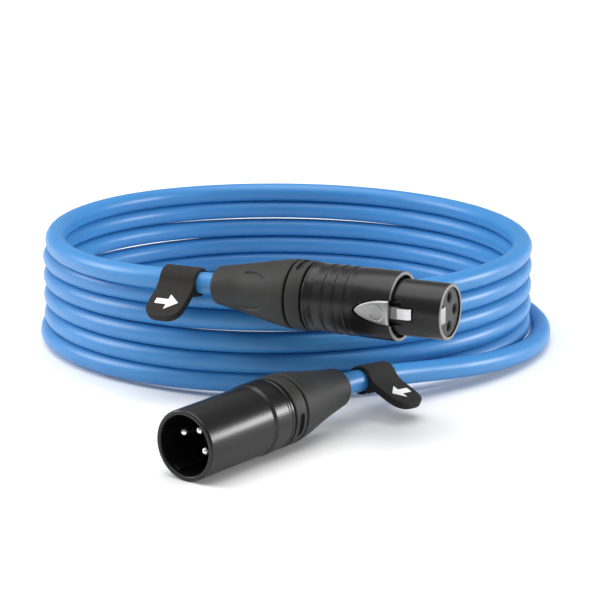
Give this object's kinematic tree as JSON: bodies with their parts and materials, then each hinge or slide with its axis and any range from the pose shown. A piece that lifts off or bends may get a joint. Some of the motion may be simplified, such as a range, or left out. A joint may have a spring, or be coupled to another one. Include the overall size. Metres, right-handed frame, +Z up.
{
  "type": "xlr microphone cable coil",
  "caption": "Balanced audio cable wound into a standing coil, with a latching female XLR connector, a male XLR connector and swinging rubber tags.",
  "frame": {"origin": "middle of the whole object's footprint, on the surface it stands on", "axes": "+Z up, along the coil's axis; -Y is the front, where both connectors lie"},
  "size_m": [0.1699, 0.2468, 0.0465],
  "materials": {
    "connector_shell": "satin black coating on die-cast metal",
    "insert_grey": "moulded grey plastic",
    "insert_black": "moulded black plastic",
    "contact_metal": "silver plated",
    "latch_metal": "satin silver",
    "chuck_plastic": "moulded white plastic",
    "bushing_plastic": "moulded black plastic",
    "boot_rubber": "fine matte grain",
    "core_red": "soft insulation",
    "core_white": "soft insulation",
    "drain_copper": "bare stranded copper",
    "cable_jacket": "matte blue jacket",
    "tag_rubber": "matte black rubber",
    "mark_print": "white print"
  },
  "bodies": {
    "cable": {"female_shell": "connector_shell", "male_shell": "connector_shell", "female_insert": "insert_grey", "male_insert": "insert_black", "female_contact_1": "contact_metal", "female_contact_2": "contact_metal", "female_contact_3": "contact_metal", "male_pin_1": "contact_metal", "male_pin_2": "contact_metal", "male_pin_3": "contact_metal", "latch_pin": "latch_metal", "latch_spring": "latch_metal", "female_ground_clip": "latch_metal", "female_chuck": "chuck_plastic", "male_chuck": "chuck_plastic", "female_bushing": "bushing_plastic", "male_bushing": "bushing_plastic", "female_boot": "boot_rubber", "male_boot": "boot_rubber", "female_coding_ring": "boot_rubber", "male_coding_ring": "boot_rubber", "female_core_hot": "core_red", "male_core_hot": "core_red", "female_core_cold": "core_white", "male_core_cold": "core_white", "female_drain_wire": "drain_copper", "male_drain_wire": "drain_copper", "cable_coil": "cable_jacket", "female_lead": "cable_jacket", "male_lead": "cable_jacket"},
    "latch": {"latch_lever": "latch_metal"},
    "female_tag": {"female_tag": "tag_rubber", "female_tag_mark": "mark_print"},
    "male_tag": {"male_tag": "tag_rubber", "male_tag_mark": "mark_print"}
  },
  "joints": [
    {"name": "latch_hinge", "type": "hinge", "parent": "cable", "child": "latch", "pos_m": [0.01824, -0.07654, 0.0363], "axis": [0, 0, 1], "range_deg": [0, 4], "stiffness_Nm_per_rad": 0.05, "springref_deg": -5.73},
    {"name": "female_tag_swing", "type": "hinge", "parent": "cable", "child": "female_tag", "pos_m": [-0.0325, -0.0417, 0.0363], "axis": [-0.891, 0.454, 0], "range_deg": [-56, 90]},
    {"name": "male_tag_swing", "type": "hinge", "parent": "cable", "child": "male_tag", "pos_m": [0.0227, -0.0531, 0.00975], "axis": [-0.6672, -0.741, 0.0767], "range_deg": [-3, 100]}
  ]
}
